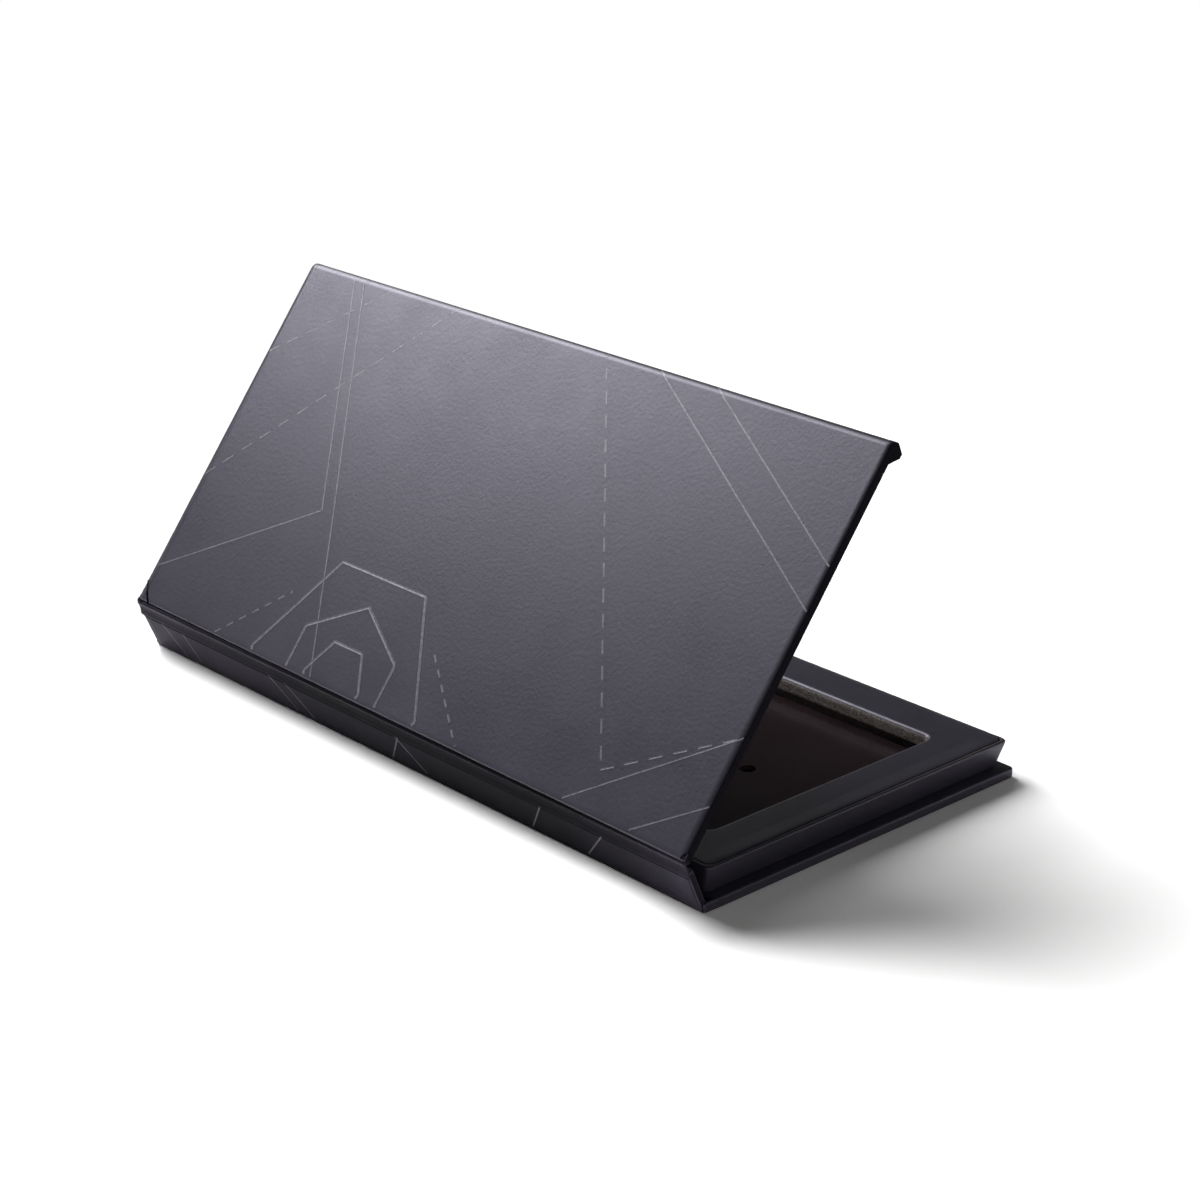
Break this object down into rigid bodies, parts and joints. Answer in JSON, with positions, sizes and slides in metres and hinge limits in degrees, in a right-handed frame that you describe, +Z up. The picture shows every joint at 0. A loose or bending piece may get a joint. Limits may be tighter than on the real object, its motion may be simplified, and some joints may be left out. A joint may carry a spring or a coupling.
{
  "type": "magnetic makeup palette",
  "caption": "Empty book-style magnetic palette of paper-wrapped greyboard, half open, with a wide recessed pan well, leaning tray walls and a hinged lid with a closing lip.",
  "frame": {"origin": "centre of the base's underside, on the table", "axes": "+X along the spine, +Y from the spine towards the free edge, +Z up out of the well"},
  "size_m": [0.1544, 0.0786, 0.0686],
  "materials": {
    "soft_touch_paper": "soft-touch matt",
    "liner_paper": "matt",
    "greyboard": "raw",
    "black_board": "raw cut edge",
    "magnet_sheet": "satin",
    "magnet_steel": "plated"
  },
  "bodies": {
    "base": {"base_board": "greyboard", "base_cover_paper": "soft_touch_paper", "floor_board": "black_board", "magnetic_sheet": "magnet_sheet", "lower_rail_front": "black_board", "lower_rail_rear": "black_board", "lower_rail_left": "black_board", "lower_rail_right": "black_board", "upper_frame": "black_board", "tray_cover_paper": "soft_touch_paper", "tray_magnet_left": "magnet_steel", "tray_magnet_right": "magnet_steel"},
    "spine": {"spine_board": "greyboard", "spine_cover_paper": "soft_touch_paper", "spine_liner": "liner_paper"},
    "lid": {"lid_board": "greyboard", "lid_cover_paper": "soft_touch_paper", "lid_liner": "liner_paper", "lip_bar": "greyboard", "lip_magnet_left": "magnet_steel", "lip_magnet_right": "magnet_steel"}
  },
  "joints": [
    {"name": "spine_hinge", "type": "hinge", "parent": "base", "child": "spine", "pos_m": [0, -0.03725, 0], "axis": [1, 0, 0], "range_deg": [-22.5, 67.5]},
    {"name": "lid_hinge", "type": "hinge", "parent": "spine", "child": "lid", "pos_m": [0, -0.04146, 0.01016], "axis": [1, 0, 0], "range_deg": [-29.7, 60.5]}
  ]
}
